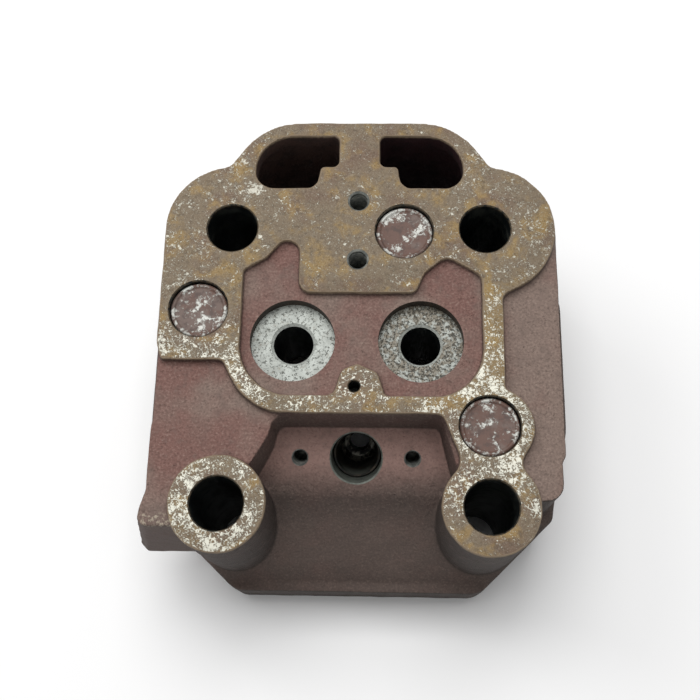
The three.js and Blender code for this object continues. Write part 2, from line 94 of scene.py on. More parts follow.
class Tree:
    """The node tree of one material, with one method for each kind of need."""

    def __init__(self, name: str) -> None:
        """Start an empty material with a Principled shader on its output."""
        self.material = bpy.data.materials.new(name)
        self.material.use_nodes = True
        self.nodes = self.material.node_tree.nodes
        self.links = self.material.node_tree.links
        self.nodes.clear()
        self.shader = self.nodes.new("ShaderNodeBsdfPrincipled")
        output = self.nodes.new("ShaderNodeOutputMaterial")
        self.links.new(self.shader.outputs[0], output.inputs[0])
        self.place = self.node("ShaderNodeTexCoord", {}, {}, "Object")

    def node(self, kind: str, settings: dict, inputs: dict, output: str | int = 0) -> Wire:
        """Add a node.

        Args:
            kind: the node's type name.
            settings: its properties, set before its sockets.
            inputs: socket name or index to a value or a Wire.
            output: the output socket wanted.

        Returns:
            The wanted output.
        """
        node = self.nodes.new(kind)
        for key, value in settings.items():
            setattr(node, key, value)
        for key, value in inputs.items():
            if isinstance(value, Wire):
                self.links.new(value.socket, node.inputs[key])
            else:
                node.inputs[key].default_value = value
        return Wire(self, node.outputs[output])

    def maths(self, operation: str, left: Wire | float, right: Wire | float) -> Wire:
        """One Math node."""
        return self.node("ShaderNodeMath", {"operation": operation}, {0: left, 1: right})

    def step(self, value: Wire, low: float | Wire, high: float | Wire) -> Wire:
        """A soft step: 0 below low, 1 above high."""
        settings = {"interpolation_type": "SMOOTHSTEP"}
        return self.node("ShaderNodeMapRange", settings, {0: value, 1: low, 2: high})

    def drop(self, value: Wire, low: float, high: float) -> Wire:
        """A soft step down: 1 below low, 0 above high."""
        return 1.0 - self.step(value, low, high)

    def noise(self, size: float, detail: float = 2.0, rough: float = 0.5, warp: float = 0.0) -> Wire:
        """Noise whose blotches are about size millimetres across."""
        inputs = {
            "Vector": self.place,
            "Scale": 1.0 / (size * MM),
            "Detail": detail,
            "Roughness": rough,
            "Distortion": warp,
        }
        return self.node("ShaderNodeTexNoise", {}, inputs)

    def axis(self, name: str) -> Wire:
        """One coordinate of the piece, in millimetres."""
        wanted = self.node("ShaderNodeSeparateXYZ", {}, {0: self.place}, name)
        return wanted * (1.0 / MM)

    def facing(self, name: str) -> Wire:
        """One part of the surface's direction, such as Z: 1 where it faces up."""
        normal = self.node("ShaderNodeNewGeometry", {}, {}, "Normal")
        return self.node("ShaderNodeSeparateXYZ", {}, {0: normal}, name)

    def coats(self, ground: Colour, *coats: tuple[Wire, Colour]) -> Wire:
        """Lay colours on a ground colour.

        Args:
            ground: the colour under them all.
            coats: the mask and the colour of each coat, from the lowest up.

        Returns:
            The mixed colour.
        """
        under: Wire | tuple = (*ground, 1.0)
        settings = {"data_type": "RGBA", "clamp_factor": True}
        for mask, over in coats:
            under = self.node("ShaderNodeMix", settings, {0: mask, 6: under, 7: (*over, 1.0)}, 2)
        return under

    def finish(self, colour: Wire | tuple, rough: Wire | float, metal: Wire | float,
               height: Wire | None, depth: float, shine: float = 0.5) -> Material:
        """Wire the shader.

        Args:
            colour: base colour.
            rough: roughness.
            metal: metalness.
            height: bump height, 0 to 1, or None.
            depth: what a height of 1 stands for, in millimetres.
            shine: specular level, the same all over.

        Returns:
            The finished material.
        """
        self.shader.inputs["Specular IOR Level"].default_value = shine
        for name, value in (("Base Color", colour), ("Roughness", rough), ("Metallic", metal)):
            if isinstance(value, Wire):
                self.links.new(value.socket, self.shader.inputs[name])
            else:
                self.shader.inputs[name].default_value = value
        if height is not None:
            inputs = {"Height": height, "Distance": depth * MM, "Strength": 1.0}
            bump = self.node("ShaderNodeBump", {}, inputs, "Normal")
            self.links.new(bump.socket, self.shader.inputs["Normal"])
        return self.material


# ---------- finishes


@dataclass(frozen=True)
class OxidePrimer:
    """Red-oxide primer on a sand-cast skin, with painted shade on its walls, in its crease and foot and
    lower down, and a painted highlight on the injector bay's ledge.

    A Pair gives the two places, in millimetres, between which a change in the finish happens.
    """

    fresh: Colour = (0.176, 0.092, 0.077)
    worn: Colour = (0.205, 0.148, 0.123)
    # A dark brown for random grime and for the painted shade lower down.
    grime_and_shade: Colour = (0.114, 0.083, 0.071)
    # A near-black for the grain, and for the painted shade on the front bosses' walls.
    soot: Colour = (0.030, 0.024, 0.020)
    dust: Colour = (0.400, 0.310, 0.260)
    iron: Colour = (0.225, 0.172, 0.115)
    chip: Colour = (0.560, 0.500, 0.380)
    # A near-black painted shade for steep walls, the slope's crease and its foot.
    wall: Colour = (0.040, 0.029, 0.025)
    # A light primer painted on the injector bay's ledge as a highlight.
    ledge_highlight: Colour = (0.330, 0.205, 0.175)
    exhaust_side: Pair = (20.0, 62.0)
    # Heights over which the painted shade lower down fades out.
    low_shade_height: Pair = (46.0, 77.0)
    slope_foot: Pair = (21.0, 31.0)
    slope_head: Pair = (40.0, 50.0)
    ledge_front: Pair = (51.0, 56.5)
    ledge_back: Pair = (60.5, 63.0)
    rubbed_edge: Pair = (78.7, 79.4)
    front_bosses: Pair = (-44.0, -34.0)
    lug_side: Pair = (-56.0, -50.0)
    lug_back: Pair = (-52.0, -48.0)
    lug_crest: Pair = (74.6, 75.8)
    lug_brow: Pair = (-53.5, -51.5)

    def material(self) -> Material:
        """The primer as a material."""
        tree = Tree("oxide_primer")
        x, y, z = (tree.axis(name) for name in "XYZ")
        grain = tree.noise(0.85, 4.0, 0.70)
        coarse = tree.noise(3.4, 4.0, 0.62)
        pits = tree.step(tree.noise(1.5, 3.0, 0.6), 0.60, 0.72)
        right = tree.step(x, *self.exhaust_side)
        patches = tree.step(tree.noise(24.0, 3.0) + right * 0.22 - 0.06, 0.36, 0.66)
        # Steep walls, which are given painted shade below.
        steep = tree.drop(tree.facing("Z"), 0.20, 0.80)
        flat = 1.0 - steep
        low = tree.drop(z, *self.low_shade_height)
        bosses = tree.drop(y, *self.front_bosses)
        lug = tree.drop(x, *self.lug_side) * tree.drop(y, *self.lug_back)
        # Painted shade that darkens the primer lower down, plus random grime blotches.
        shade_and_dirt = (low * 0.95 + (tree.noise(9.0, 4.0) - 0.5) * 0.75) * (1.0 - lug * 0.2)
        before_ledge = tree.drop(z + (coarse - 0.5) * 2.0, *self.ledge_front)
        # The flat ledge of the injector bay, which gets a painted highlight.
        ledge_highlight = (1.0 - before_ledge) * tree.drop(z, *self.ledge_back) * flat
        # Bands under the crease and at the foot of the slope, which get painted shade.
        crease = tree.step(z, *self.slope_head) * before_ledge * flat
        foot = tree.drop(z, *self.slope_foot) * flat
        # Dust is held off the front bosses' walls so that their painted shade stays dark.
        dusty = tree.step(grain, 0.50, 0.74) * (0.40 - low * 0.22) * (1.0 - steep * bosses * 0.8)
        rubbed = tree.step(z + (coarse - 0.5) * 1.6, *self.rubbed_edge)
        brow = tree.step(z, *self.lug_crest) * tree.drop(y, *self.lug_brow)
        chips = tree.step(tree.noise(1.4, 4.0, 0.7), 0.51, 0.60) * brow * lug
        colour = tree.coats(
            self.fresh,
            (patches, self.worn),
            # Painted shade lower down, with random grime.
            (shade_and_dirt, self.grime_and_shade),
            # Painted highlight on the injector bay's ledge.
            (ledge_highlight * 0.90, self.ledge_highlight),
            # Painted shade in the slope's crease and at its foot.
            (crease * 0.52 + foot * 0.40, self.wall),
            # Painted shade on steep walls, deepest on the front bosses and least on the lug.
            (steep * (0.62 + bosses * 0.20 - lug * 0.24), self.wall),
            (steep * bosses * (0.50 - lug * 0.50), self.soot),
            (lug * 0.40, self.grime_and_shade),
            (dusty, self.dust),
            (tree.step(1.0 - grain, 0.46, 0.74) * (0.52 - low * 0.20), self.soot),
            (tree.step(coarse, 0.50, 0.72) * 0.42, self.grime_and_shade),
            (rubbed * 0.9, self.iron),
            (chips * 0.45, self.chip),
        )
        height = grain * 0.55 + coarse * 0.9 - pits * 0.45
        return tree.finish(colour, 0.60 + grain * 0.25, 0.0, height, 0.42, 0.25)


@dataclass(frozen=True)
class RustedFace:
    """Machined iron gone brown, with bright flecks where the rust has been rubbed off."""

    brown: Colour = (0.182, 0.140, 0.094)
    ochre: Colour = (0.300, 0.196, 0.068)
    umber: Colour = (0.150, 0.098, 0.068)
    shade: Colour = (0.060, 0.045, 0.032)
    fleck: Colour = (0.740, 0.730, 0.630)
    edges: Pair = (20.0, 46.0)
    injector_side: Pair = (-8.0, 30.0)
    scuff: Triple = (-37.0, 64.5, 3.6)
    quiet: Triple = (46.0, -61.0, 20.0)
    golden: Triple = (48.0, 6.0, 26.0)

    @staticmethod
    def spot(tree: Tree, x: Wire, y: Wire, place: Triple) -> Wire:
        """A soft round spot: 1 near its middle, 0 beyond its reach."""
        spot_x, spot_y, reach = place
        square = (x - spot_x) * (x - spot_x) + (y - spot_y) * (y - spot_y)
        return tree.drop(tree.maths("SQRT", square, 0.0), reach * 0.4, reach)

    def material(self) -> Material:
        """The face as a material."""
        tree = Tree("rusted_machined_face")
        x, y = tree.axis("X"), tree.axis("Y")
        scuffed, quiet, golden = (self.spot(tree, x, y, place)
                                  for place in (self.scuff, self.quiet, self.golden))
        side = tree.step(tree.maths("ABSOLUTE", x, 0.0), *self.edges)
        front = tree.drop(y, *self.injector_side)
        cloud = tree.noise(13.0, 4.0, 0.6)
        clump = tree.noise(4.6, 3.0, 0.62, 0.9)
        streaks = tree.noise(1.05, 4.0, 0.64, 1.1)
        powder = tree.noise(0.42, 3.0, 0.7, 0.4)
        bare = side * 0.55 + front * 0.86 + (cloud - 0.5) * 3.2 + (clump - 0.5) * 4.6
        bare = bare + scuffed * 1.6 - quiet * 1.7 + golden * 0.35
        gate = 0.592 - bare * 0.078
        flecks = tree.step(streaks * 0.80 + powder * 0.20, gate, gate + 0.075)
        warm = tree.step(tree.noise(10.0, 5.0, 0.62, 0.4), 0.47, 0.66)
        red = tree.step(tree.noise(17.0, 4.0, 0.6), 0.48, 0.68)
        dark = tree.step(tree.noise(1.3, 4.0, 0.7), 0.50, 0.70)
        colour = tree.coats(
            self.brown,
            (red * 0.8, self.umber),
            (warm * 0.72 + golden * 0.45, self.ochre),
            (tree.step(powder, 0.52, 0.75) * 0.26, self.fleck),
            (dark * 0.50, self.shade),
            (tree.step(1.0 - powder, 0.52, 0.75) * 0.55, self.shade),
            (flecks * (0.66 + front * 0.24), self.fleck),
        )
        height = flecks * 0.6 - dark * 0.4 + powder * 0.5
        return tree.finish(colour, 0.72 - flecks * 0.2, flecks * 0.15, height, 0.14, 0.3)


@dataclass(frozen=True)
class PittedSteel:
    """Pale machined metal with dark pits, browner on the exhaust side."""

    pale: Colour = (0.450, 0.475, 0.440)
    dull: Colour = (0.290, 0.305, 0.278)
    pit: Colour = (0.075, 0.070, 0.060)
    rust: Colour = (0.150, 0.120, 0.080)
    exhaust_side: Pair = (-10.0, 12.0)
    guide_lip: Pair = (72.25, 72.45)

    def material(self) -> Material:
        """The metal as a material."""
        tree = Tree("pitted_spot_face")
        side = tree.step(tree.axis("X"), *self.exhaust_side)
        lip = tree.drop(tree.axis("Z"), *self.guide_lip)
        pits = tree.step(tree.noise(0.85, 4.0, 0.68, 0.6) + side * 0.040, 0.555, 0.64)
        bloom = tree.step(tree.noise(2.1, 4.0, 0.7) + side * 0.15, 0.56, 0.70)
        tone = tree.step(tree.noise(3.6, 3.0), 0.34, 0.66)
        powder = tree.step(tree.noise(0.40, 2.0, 0.6), 0.50, 0.72)
        colour = tree.coats(
            self.pale,
            (tone * 0.75, self.dull),
            (side * 0.45, self.dull),
            (bloom * (0.55 + side * 0.30), self.rust),
            (powder * 0.40, self.dull),
            (pits * (0.62 + side * 0.28), self.pit),
            (lip * 0.75, self.pale),
        )
        return tree.finish(colour, 0.52 + pits * 0.3, 0.15, 1.0 - pits, 0.14, 0.4)


@dataclass(frozen=True)
class Bored:
    """The dark, oily wall of a drilled or reamed hole, with turning marks and a rusted mouth."""

    oil: Colour = (0.008, 0.011, 0.012)
    metal: Colour = (0.050, 0.054, 0.046)
    rust: Colour = (0.120, 0.090, 0.055)
    mouth: Pair = (77.6, 79.6)

    def material(self) -> Material:
        """The wall as a material."""
        tree = Tree("bored_wall")
        bands = {"Vector": tree.place, "Scale": 260.0, "Distortion": 2.0, "Detail": 2.0}
        marks = tree.node("ShaderNodeTexWave", {"bands_direction": "Z"}, bands, 1)
        stain = tree.step(tree.noise(4.0, 4.0), 0.46, 0.72)
        rim = tree.step(tree.axis("Z"), *self.mouth) * tree.step(tree.noise(1.2, 3.0), 0.35, 0.6)
        colour = tree.coats(self.oil, (stain, self.metal), (rim * 0.8, self.rust))
        return tree.finish(colour, 0.42 + stain * 0.25, 0.3, marks, 0.03, 0.4)


@dataclass(frozen=True)
class MilledFace:
    """Milled sealing face: grey iron with cutter marks and rust stains."""

    grey: Colour = (0.255, 0.245, 0.225)
    rust: Colour = (0.165, 0.100, 0.060)
    spot: Colour = (0.070, 0.055, 0.040)

    def material(self) -> Material:
        """The face as a material."""
        tree = Tree("milled_sealing_face")
        rings = {"Vector": tree.place, "Scale": 420.0, "Distortion": 0.6}
        marks = tree.node("ShaderNodeTexWave", {"wave_type": "RINGS", "rings_direction": "Z"}, rings, 1)
        stain = tree.step(tree.noise(13.0, 5.0, 0.62), 0.48, 0.66)
        speck = tree.step(tree.noise(1.4, 3.0, 0.6), 0.58, 0.70)
        fine = tree.step(tree.noise(0.6, 3.0, 0.65), 0.50, 0.75)
        colour = tree.coats(self.grey, (stain * 0.75, self.rust), (speck * 0.5, self.spot),
                            (fine * 0.4, self.spot))
        return tree.finish(colour, 0.42 + stain * 0.3, 0.6 - stain * 0.45, marks - speck, 0.02, 0.5)


@dataclass(frozen=True)
class PressedSteel:
    """Pressed plug steel: brown bloom with pale patches, more of them round the rim."""

    brown: Colour = (0.120, 0.066, 0.050)
    lilac: Colour = (0.150, 0.116, 0.100)
    dark: Colour = (0.062, 0.040, 0.034)
    bright: Colour = (0.560, 0.570, 0.530)
    intake_side: Pair = (-40.0, -10.0)
    rim_height: Pair = (77.86, 78.30)

    def material(self) -> Material:
        """The steel as a material."""
        tree = Tree("pressed_plug_steel")
        cloud = tree.noise(6.5, 5.0, 0.64, 0.3)
        grain = tree.noise(1.1, 4.0, 0.68, 0.5)
        left = tree.drop(tree.axis("X"), *self.intake_side)
        rim = tree.step(tree.axis("Z"), *self.rim_height)
        patches = tree.step(cloud * 0.62 + grain * 0.38 + rim * 0.035, 0.512, 0.587)
        blotch = tree.step(tree.noise(2.4, 4.0, 0.68), 0.46, 0.66)
        haze = tree.step(tree.noise(5.0, 3.0) + left * 0.12, 0.50, 0.66)
        colour = tree.coats(self.brown, (haze * 0.6, self.lilac), (blotch * 0.75, self.dark),
                            (patches * 0.85, self.bright))
        height = patches * 0.5 + cloud * 0.8 + grain * 0.3
        return tree.finish(colour, 0.60 - patches * 0.15, patches * 0.15, height, 0.16, 0.4)


@dataclass(frozen=True)
class OldCopper:
    """Sooty copper, dusty on its lower side and bright on the floor where the nozzle seals."""

    soot: Colour = (0.020, 0.020, 0.018)
    dull: Colour = (0.085, 0.066, 0.048)
    bright: Colour = (0.520, 0.500, 0.430)
    dust: Colour = (0.180, 0.195, 0.170)
    floor: Pair = (16.0, 17.0)
    dust_height: Pair = (30.0, 44.0)

    def material(self) -> Material:
        """The sleeve's material."""
        tree = Tree("old_copper")
        z = tree.axis("Z")
        stain = tree.step(tree.noise(2.4, 4.0, 0.6), 0.45, 0.70)
        deep = tree.drop(z, *self.floor) * tree.step(tree.noise(3.0, 3.0, 0.6), 0.44, 0.56)
        dusty = tree.step(tree.facing("Y"), 0.35, 0.95) * tree.step(z, *self.dust_height)
        colour = tree.coats(self.soot, (stain, self.dull), (dusty * 0.85, self.dust),
                            (deep * 0.9, self.bright))
        return tree.finish(colour, 0.42, 0.5, tree.noise(0.8, 3.0), 0.04, 0.5)


@dataclass(frozen=True)
class PlainStock:
    """A simple turned, moulded or cored surface with mottling and grain."""

    name: str
    base: Colour
    mottle: Colour
    rough: float
    metal: float
    size: float = 2.2
    relief: float = 0.05

    def material(self) -> Material:
        """The stock as a material."""
        tree = Tree(self.name)
        blotch = tree.step(tree.noise(self.size, 4.0, 0.6), 0.42, 0.68)
        grain = tree.noise(self.size * 0.3, 3.0, 0.65)
        mottled = blotch * 0.7 + tree.step(grain, 0.50, 0.75) * 0.3
        colour = tree.coats(self.base, (mottled, self.mottle))
        return tree.finish(colour, self.rough + blotch * 0.15, self.metal, grain, self.relief, 0.4)


class Skin(Enum):
    """The finishes a surface of the object can have."""

    PRIMER = OxidePrimer()
    FACE = RustedFace()
    SPOT = PittedSteel()
    # The counterbore wall's near-black colour is painted shade.
    WALL_SHADE = PlainStock("counterbore_wall_shade", (0.034, 0.027, 0.022), (0.085, 0.062, 0.046), 0.6, 0.2)
    PIT = PlainStock("pushrod_chamber", (0.036, 0.012, 0.014), (0.012, 0.006, 0.007), 0.7, 0.0, 5.0, 0.25)
    BORE = Bored()
    THREAD = PlainStock("tapped_thread", (0.150, 0.160, 0.150), (0.420, 0.420, 0.375), 0.34, 0.5)
    REAMED = PlainStock("reamed_mouth", (0.190, 0.205, 0.180), (0.060, 0.066, 0.058), 0.5, 0.3, 2.6, 0.12)
    CORE = PlainStock("cored_passage", (0.085, 0.048, 0.038), (0.040, 0.028, 0.024), 0.8, 0.0, 4.0, 0.3)
    MILLED = MilledFace()
    PLUG = PressedSteel()
    SEAT = PlainStock("hard_seat_steel", (0.330, 0.325, 0.310), (0.180, 0.160, 0.140), 0.34, 0.85)
    SLEEVE = OldCopper()
    RUBBER = PlainStock("black_rubber", (0.018, 0.018, 0.018), (0.030, 0.030, 0.030), 0.75, 0.0)


Skins = dict[Skin, Material]


def make_skins() -> Skins:
    """Every finish, made once."""
    return {skin: skin.value.material() for skin in Skin}


# ---------- solids


ARC_STEP = math.radians(6.0)
FAR = 90.0
ALONG_X = Matrix(((0, 0, 1, 0), (1, 0, 0, 0), (0, 1, 0, 0), (0, 0, 0, 1)))
UPSIDE_DOWN = Matrix.Rotation(math.pi, 4, "X")
BACKWARDS = Matrix.Rotation(-math.pi / 2, 4, "X")


def rounded(corners: list[Corner]) -> list[Vector]:
    """Points of a closed outline.

    Args:
        corners: x, y and fillet radius of each corner, in order.

    Returns:
        The outline with each corner rounded by an arc.
    """
    points: list[Vector] = []
    for index, (x, y, radius) in enumerate(corners):
        corner = Vector((x, y))
        if radius == 0:
            points.append(corner)
            continue
        back = (Vector(corners[index - 1][:2]) - corner).normalized()
        ahead = (Vector(corners[(index + 1) % len(corners)][:2]) - corner).normalized()
        half = back.angle(ahead) / 2
        centre = corner + (back + ahead).normalized() * (radius / math.sin(half))
        start = corner + back * (radius / math.tan(half)) - centre
        turn = (math.pi - 2 * half) * (1 if back.cross(ahead) < 0 else -1)
        steps = max(2, math.ceil(abs(turn) / ARC_STEP))
        for count in range(steps + 1):
            points.append(centre + Matrix.Rotation(turn * count / steps, 2) @ start)
    return [point for index, point in enumerate(points) if (point - points[index - 1]).length > 1e-3]


def at(x: float, y: float, z: float = 0.0) -> Matrix:
    """An upright place at a point."""
    return Matrix.Translation((x, y, z))


def across(side: int, x: float, y: float, z: float) -> Matrix:
    """A place at a point whose own +Z points outwards, along +X or -X."""
    return at(x, y, z) @ Matrix.Rotation(side * math.pi / 2, 4, "Y")


def as_object(name: str, bm: bmesh.types.BMesh, skin: Material) -> Tool:
    """A bmesh in millimetres as an object in metres.

    Args:
        name: the object's name.
        bm: its shape, which is freed.
        skin: its material.

    Returns:
        The object, in the scene and at the origin.
    """
    bmesh.ops.remove_doubles(bm, verts=bm.verts, dist=1e-4)
    bmesh.ops.recalc_face_normals(bm, faces=bm.faces)
    bmesh.ops.scale(bm, vec=(MM, MM, MM), verts=bm.verts)
    mesh = bpy.data.meshes.new(name)
    bm.to_mesh(mesh)
    bm.free()
    mesh.materials.append(skin)
    made = bpy.data.objects.new(name, mesh)
    bpy.context.scene.collection.objects.link(made)
    return made


def smooth(piece: Tool, angle: float) -> None:
    """Shade a piece smooth, apart from edges sharper than an angle in degrees."""
    mesh = piece.data
    mesh.polygons.foreach_set("use_smooth", [True] * len(mesh.polygons))
    mesh.set_sharp_from_angle(angle=math.radians(angle))
    mesh.update()


@dataclass
class Bench:
    """Makes tools, each of which leaves the skin it carries on what it cuts or joins."""

    skin: Material

    def prism(self, corners: list[Corner], bottom: float, top: float,
              place: Matrix | None = None) -> Tool:
        """An outline drawn up between two heights, then moved by place."""
        bm = bmesh.new()
        face = bm.faces.new([bm.verts.new((point.x, point.y, bottom)) for point in rounded(corners)])
        grown = bmesh.ops.extrude_face_region(bm, geom=[face])["geom"]
        verts = [item for item in grown if isinstance(item, bmesh.types.BMVert)]
        bmesh.ops.translate(bm, vec=(0, 0, top - bottom), verts=verts)
        if place is not None:
            bmesh.ops.transform(bm, matrix=place, verts=bm.verts)
        return as_object("prism", bm, self.skin)

    def bar(self, place: Matrix, radius: float, start: float, end: float, sides: int = 72) -> Tool:
        """A round bar along the local Z axis of place."""
        bm = bmesh.new()
        middle = place @ Matrix.Translation((0, 0, (start + end) / 2))
        bmesh.ops.create_cone(bm, cap_ends=True, segments=sides, radius1=radius, radius2=radius,
                              depth=end - start, matrix=middle)
        return as_object("bar", bm, self.skin)

    def ball(self, place: Matrix, radius: float) -> Tool:
        """A sphere."""
        bm = bmesh.new()
        bmesh.ops.create_uvsphere(bm, u_segments=56, v_segments=28, radius=radius, matrix=place)
        return as_object("ball", bm, self.skin)

    def block(self, low: tuple, high: tuple) -> Tool:
        """A box between two corners."""
        bm = bmesh.new()
        size = Matrix.Diagonal([*(b - a for a, b in zip(low, high)), 1.0])
        middle = Matrix.Translation([(a + b) / 2 for a, b in zip(low, high)])
        bmesh.ops.create_cube(bm, size=1.0, matrix=middle @ size)
        return as_object("block", bm, self.skin)

    def hull(self, points: list[tuple]) -> Tool:
        """The smallest convex solid round some points."""
        bm = bmesh.new()
        verts = [bm.verts.new(point) for point in points]
        made = bmesh.ops.convex_hull(bm, input=verts)
        inside = [item for item in made["geom_interior"] if isinstance(item, bmesh.types.BMVert)]
        bmesh.ops.delete(bm, geom=inside, context="VERTS")
        return as_object("hull", bm, self.skin)

    def lathe(self, profile: list[Pair], place: Matrix, sides: int = 96,
              name: str = "turned") -> Tool:
        """A closed profile of radius and height, turned about the local Z axis of place."""
        bm = bmesh.new()
        ring = [bm.verts.new((radius, 0, height)) for radius, height in profile]
        pairs = zip(ring, ring[1:] + ring[:1])
        edges = [bm.edges.new(pair) for pair in pairs if max(vert.co.x for vert in pair) > 0]
        bmesh.ops.spin(bm, geom=ring + edges, cent=(0, 0, 0), axis=(0, 0, 1), angle=math.tau,
                       steps=sides, use_merge=True)
        bmesh.ops.remove_doubles(bm, verts=bm.verts, dist=1e-4)
        bmesh.ops.transform(bm, matrix=place, verts=bm.verts)
        return as_object(name, bm, self.skin)

    def drill(self, place: Matrix, radius: float, depth: float, lip: float = 0.35,
              point: float = 0.0) -> Tool:
        """A drill at a mouth, with a broken edge at the mouth and a pointed end.

        Args:
            place: the mouth, with +Z out of the hole.
            radius: the hole's radius.
            depth: the hole's depth.
            lip: the chamfer at the mouth.
            point: how far the drill's point runs past the depth.

        Returns:
            The tool.
        """
        over = 3.0
        return self.lathe([
            (0, -depth - point), (radius, -depth), (radius, -lip), (radius + lip, 0),
            (radius + lip, over), (0, over),
        ], place)

    def tap(self, place: Matrix, radius: float, depth: float, pitch: float) -> Tool:
        """A threaded hole: rings of a vee thread under a countersunk mouth."""
        tooth = pitch * 0.5
        profile = [(0, -depth - 2), (radius, -depth)]
        turns = int((depth - tooth) / pitch)
        for turn in range(turns):
            low = -depth + turn * pitch
            profile += [(radius, low + pitch * 0.1), (radius + tooth, low + pitch * 0.5),
                        (radius, low + pitch * 0.9)]
        profile += [(radius, -tooth), (radius + tooth, 0), (radius + tooth, 3), (0, 3)]
        return self.lathe(profile, place, 64)


class Joining(Enum):
    """What a set of tools does to the work."""

    ADD = "UNION"
    CUT = "DIFFERENCE"


@dataclass
class Work:
    """A solid on the bench, changed by one operation after another."""

    body: Tool

    def apply(self) -> None:
        """Turn the body's modifiers into its mesh."""
        view = bpy.context.evaluated_depsgraph_get()
        mesh = bpy.data.meshes.new_from_object(self.body.evaluated_get(view))
        old = self.body.data
        self.body.modifiers.clear()
        self.body.data = mesh
        bpy.data.meshes.remove(old)

    def use(self, joining: Joining, tools: list[Tool]) -> None:
        """Join or cut with a set of tools, which are used up."""
        tray = bpy.data.collections.new("tray")
        for tool in tools:
            for home in list(tool.users_collection):
                home.objects.unlink(tool)
            tray.objects.link(tool)
        step = self.body.modifiers.new("step", "BOOLEAN")
        step.operation = joining.value
        step.operand_type = "COLLECTION"
        step.collection = tray
        step.solver = "EXACT"
        step.material_mode = "TRANSFER"
        self.apply()
        for tool in tools:
            bpy.data.objects.remove(tool)
        bpy.data.collections.remove(tray)
        LOG.info("%s %d tools: %d faces", joining.name, len(tools), len(self.body.data.polygons))

    def cast(self, grain: float, rounds: int, keep: float) -> None:
        """Turn crisp joined blocks into one casting with soft edges and filled corners.

        Args:
            grain: size of the sand grain that carries the shape, in millimetres.
            rounds: smoothing passes, which set how soft the edges are.
            keep: share of the faces that is kept.
        """
        skin = self.body.modifiers.new("grain", "REMESH")
        skin.mode = "VOXEL"
        skin.voxel_size = grain * MM
        skin.use_smooth_shade = True
        ease = self.body.modifiers.new("ease", "SMOOTH")
        ease.factor = 0.5
        ease.iterations = rounds
        self.apply()
        self.wave()
        thin = self.body.modifiers.new("thin", "DECIMATE")
        thin.ratio = keep
        self.apply()
        LOG.info("cast skin: %d faces", len(self.body.data.polygons))

    def wave(self, height: float = 0.16, length: float = 9.0) -> None:
        """Give the skin the faint waves of a sand mould."""
        bm = bmesh.new()
        bm.from_mesh(self.body.data)
        for vert in bm.verts:
            spot = vert.co / (length * MM)
            swell = noise.noise(spot) + 0.5 * noise.noise(spot * 2.7)
            vert.co += vert.normal * (swell * height * MM)
        bm.to_mesh(self.body.data)
        bm.free()

    def stain(self, skin: Material, middle: tuple, reach: tuple) -> None:
        """Give a hollow's own walls a skin.

        Args:
            skin: the material.
            middle: a point in the hollow.
            reach: half the size of a box round the hollow, on each axis.
        """
        mesh = self.body.data
        mesh.materials.append(skin)
        centre = Vector(middle) * MM
        for face in mesh.polygons:
            away = face.center - centre
            inside = all(abs(away[axis]) < reach[axis] * MM for axis in range(3))
            if inside and face.normal.dot(away) < 0:
                face.material_index = len(mesh.materials) - 1


# ---------- the casting


@dataclass
class Slope:
    """The two sloped planes between the injector bay's wall and the foot of the front."""

    wall: float = -18.5
    top: float = 60.0
    crease_y: float = -41.6
    crease: float = 51.5
    foot_y: float = -69.0
    foot: float = 22.0

    @property
    def tilt(self) -> float:
        """Lean of the platform, and of the injector that stands square to it."""
        return math.atan2(self.top - self.crease, self.wall - self.crease_y)


@dataclass
class GasPath:
    """One valve's seat, throat, port and flange."""

    side: int
    port_r: float
    port_y: float
    port_z: float
    seat_r: float
    throat_r: float
    screws: float
    face: float = 76.0


